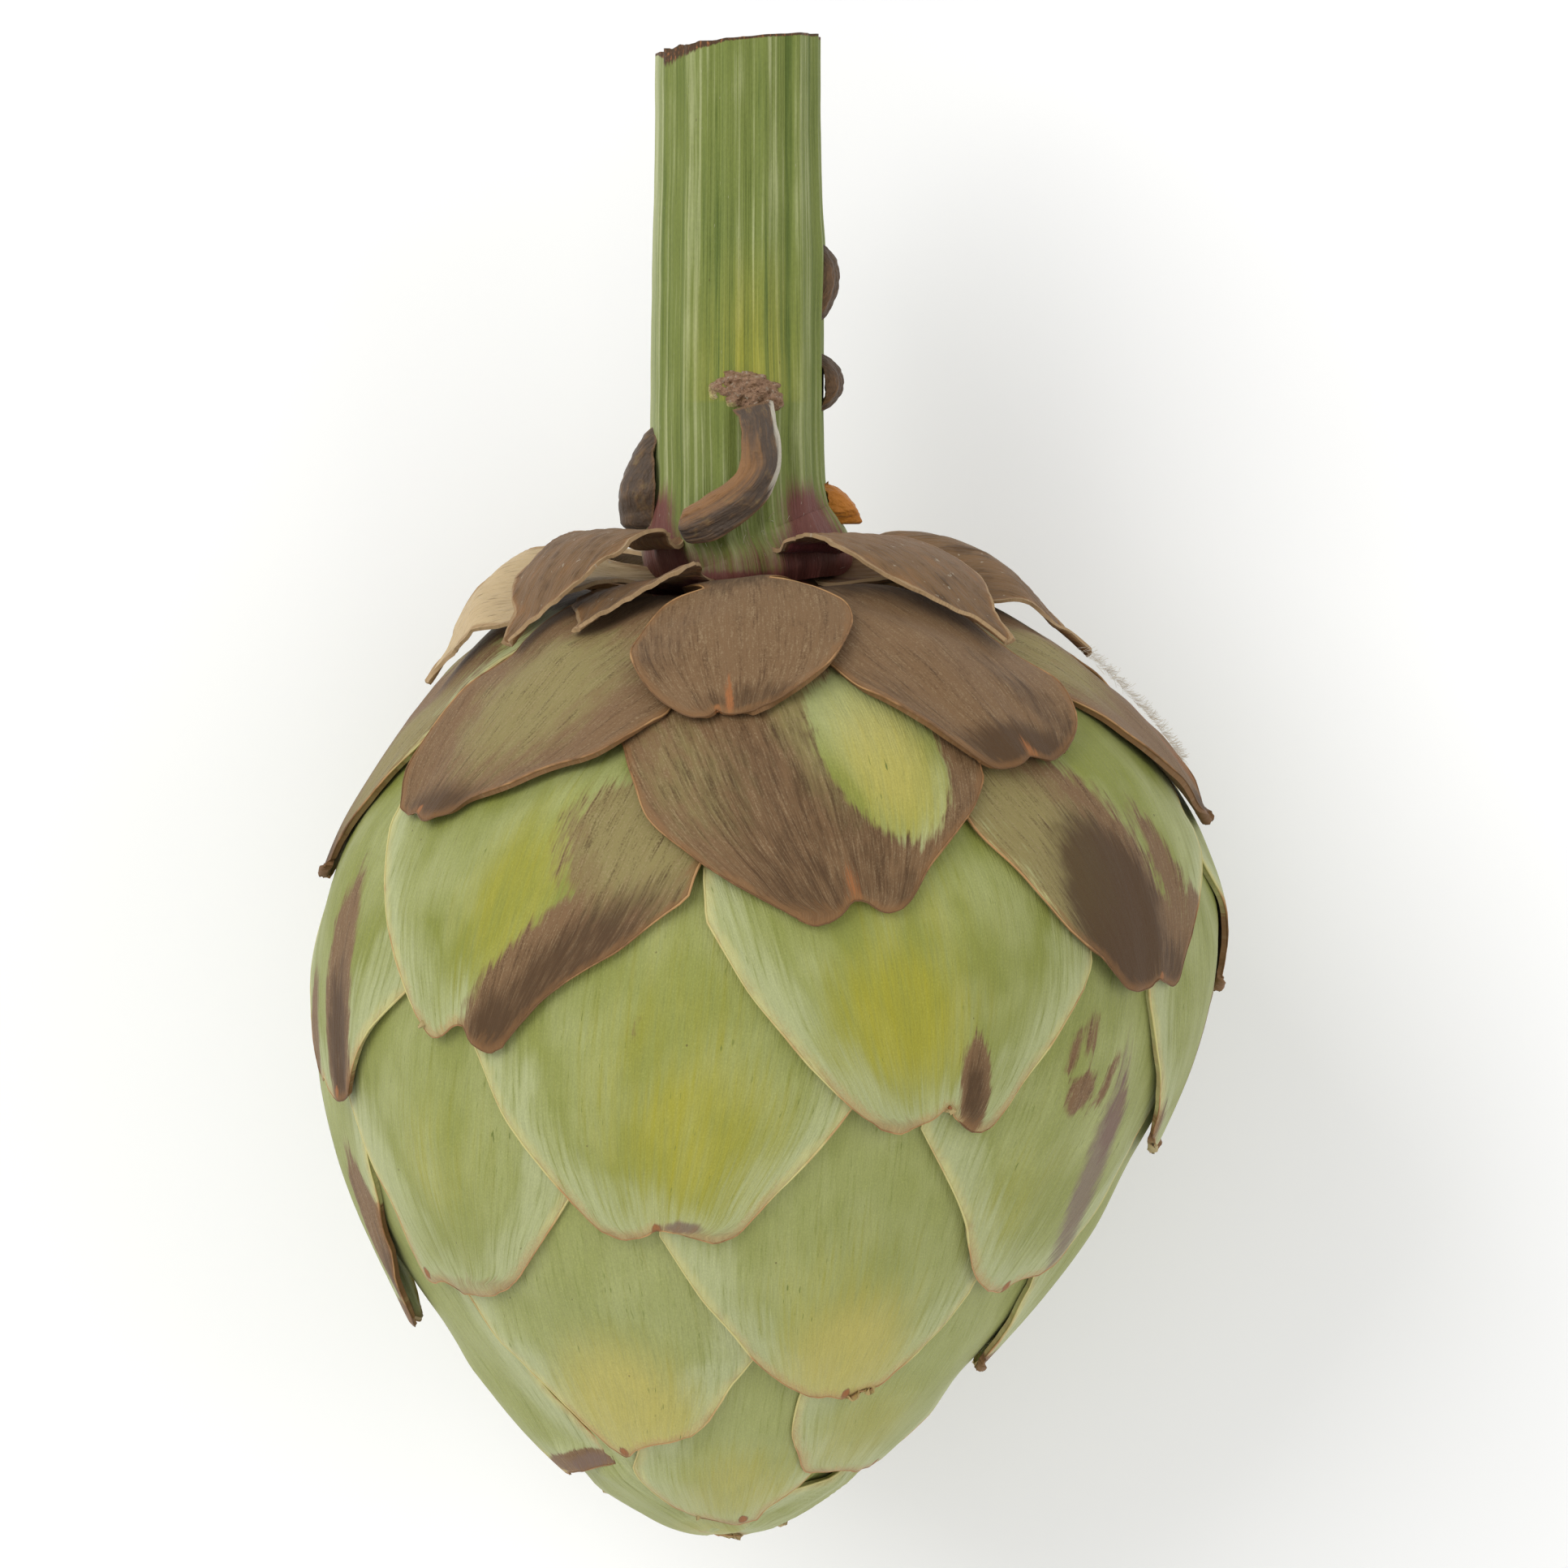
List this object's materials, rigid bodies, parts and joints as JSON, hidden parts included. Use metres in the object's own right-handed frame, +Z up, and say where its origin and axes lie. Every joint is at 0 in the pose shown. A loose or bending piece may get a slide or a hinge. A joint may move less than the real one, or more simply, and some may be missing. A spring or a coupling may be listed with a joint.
{
  "type": "artichoke",
  "caption": "Globe artichoke lying on its side: closed head of overlapping green bracts, browned towards the shoulder, with a short ribbed stem.",
  "frame": {"origin": "centre of the bounding box at the surface it rests on", "axes": "+Y from the head's closed tip to the cut end of the stem, +Z up, +X to the right when seen from above with the stem at the top"},
  "size_m": [0.1062, 0.1728, 0.1041],
  "materials": {
    "bract_green": "matte",
    "bract_brown": "matte",
    "dried_bract": "matte",
    "inner_bud": "matte",
    "stem": "matte",
    "stem_leaf": "matte"
  },
  "bodies": {
    "root": {"bract_01": "bract_brown", "bract_02": "bract_brown", "bract_03": "bract_brown", "bract_04": "bract_brown", "bract_05": "bract_brown", "bract_06": "bract_brown", "bract_07": "bract_brown", "bract_08": "bract_green", "bract_09": "bract_brown", "bract_10": "bract_green", "bract_11": "bract_brown", "bract_12": "bract_green", "bract_13": "bract_green", "bract_14": "bract_green", "bract_15": "bract_green", "bract_16": "bract_green", "bract_17": "bract_green", "bract_18": "bract_green", "bract_19": "bract_green", "bract_20": "bract_green", "bract_21": "bract_green", "bract_22": "bract_green", "bract_23": "bract_green", "bract_24": "bract_green", "bract_25": "bract_green", "bract_26": "bract_green", "bract_27": "bract_green", "bract_28": "bract_green", "bract_29": "bract_green", "bract_30": "bract_green", "bract_31": "bract_green", "bract_32": "bract_green", "bract_33": "bract_green", "bract_34": "bract_green", "bract_35": "bract_green", "bract_36": "bract_green", "bract_37": "bract_green", "bract_38": "bract_green", "bract_39": "bract_green", "bract_40": "bract_green", "bract_41": "bract_green", "bract_42": "bract_green", "bract_43": "bract_green", "bract_44": "bract_green", "dried_bract_1": "dried_bract", "dried_bract_2": "dried_bract", "dried_bract_3": "dried_bract", "dried_bract_4": "dried_bract", "dried_bract_5": "dried_bract", "dried_bract_6": "dried_bract", "dried_bract_7": "dried_bract", "inner_bud": "inner_bud", "stem": "stem", "stem_leaf_front": "stem_leaf", "stem_leaf_left": "stem_leaf", "stem_leaf_right": "stem_leaf", "stem_leaf_upper": "stem_leaf"}
  },
  "joints": []
}
